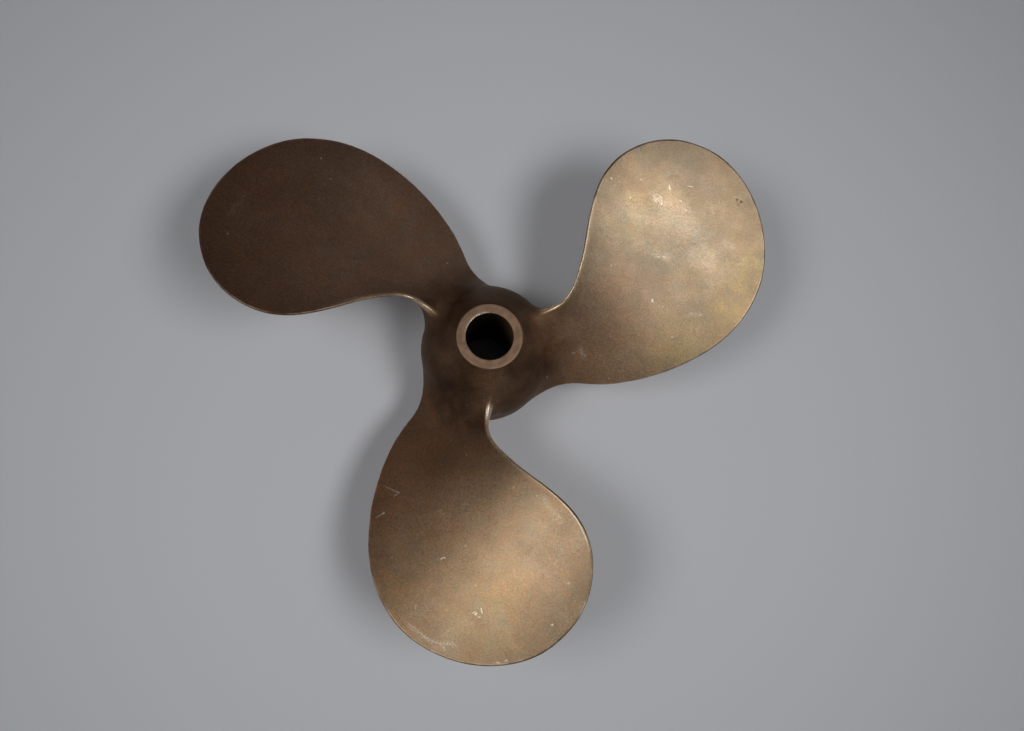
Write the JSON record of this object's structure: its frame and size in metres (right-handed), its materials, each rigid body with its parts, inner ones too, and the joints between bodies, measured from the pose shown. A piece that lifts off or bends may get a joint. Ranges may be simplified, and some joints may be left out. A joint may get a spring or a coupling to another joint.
{
  "type": "ship propeller",
  "caption": "Fixed-pitch right-handed bronze ship propeller with round skewed blades on a turned hub and a tapered shaft bore.",
  "frame": {"origin": "centre of the shaft bore on the forward hub face, which is also the face that the propeller rests on", "axes": "+Z along the shaft axis, pointing aft, towards the narrow end of the hub; a blade points along -Y"},
  "size_m": [0.3253, 0.3031, 0.0876],
  "materials": {
    "bronze": "aged satin bronze with a brown patina"
  },
  "bodies": {
    "root": {"propeller": "bronze"}
  },
  "joints": []
}
